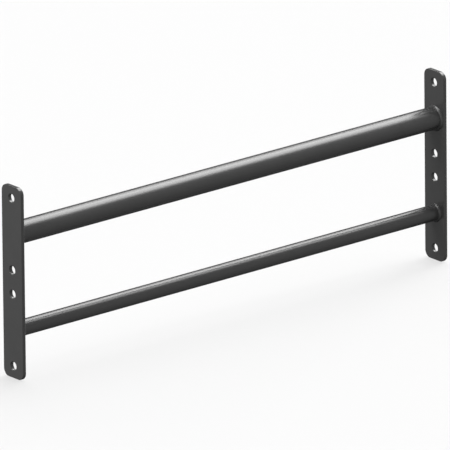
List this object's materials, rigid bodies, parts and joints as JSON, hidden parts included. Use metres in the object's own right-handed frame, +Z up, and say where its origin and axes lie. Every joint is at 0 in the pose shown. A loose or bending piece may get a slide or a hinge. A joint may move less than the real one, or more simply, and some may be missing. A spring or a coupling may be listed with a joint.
{
  "type": "double pull-up bar",
  "caption": "Thick and thin round steel grip bars, one above the other, fillet-welded between flat end plates that are drilled in line to bolt between a rig's uprights.",
  "frame": {"origin": "midway between the two end plates, centred in their width, on the floor that they stand on", "axes": "+X along the tubes, from the left plate to the right one; +Y to the back, across the plates' width; +Z up, from the thin tube to the thick one"},
  "size_m": [1.1, 0.06, 0.4],
  "materials": {
    "powder_coated_plate": "satin charcoal powder coat on flat steel bar",
    "powder_coated_tube": "satin charcoal powder coat on round steel tube",
    "powder_coated_weld": "satin charcoal powder coat over the weld beads"
  },
  "bodies": {
    "root": {"left_end_plate": "powder_coated_plate", "right_end_plate": "powder_coated_plate", "upper_tube": "powder_coated_tube", "lower_tube": "powder_coated_tube", "upper_left_weld": "powder_coated_weld", "upper_right_weld": "powder_coated_weld", "lower_left_weld": "powder_coated_weld", "lower_right_weld": "powder_coated_weld"}
  },
  "joints": []
}
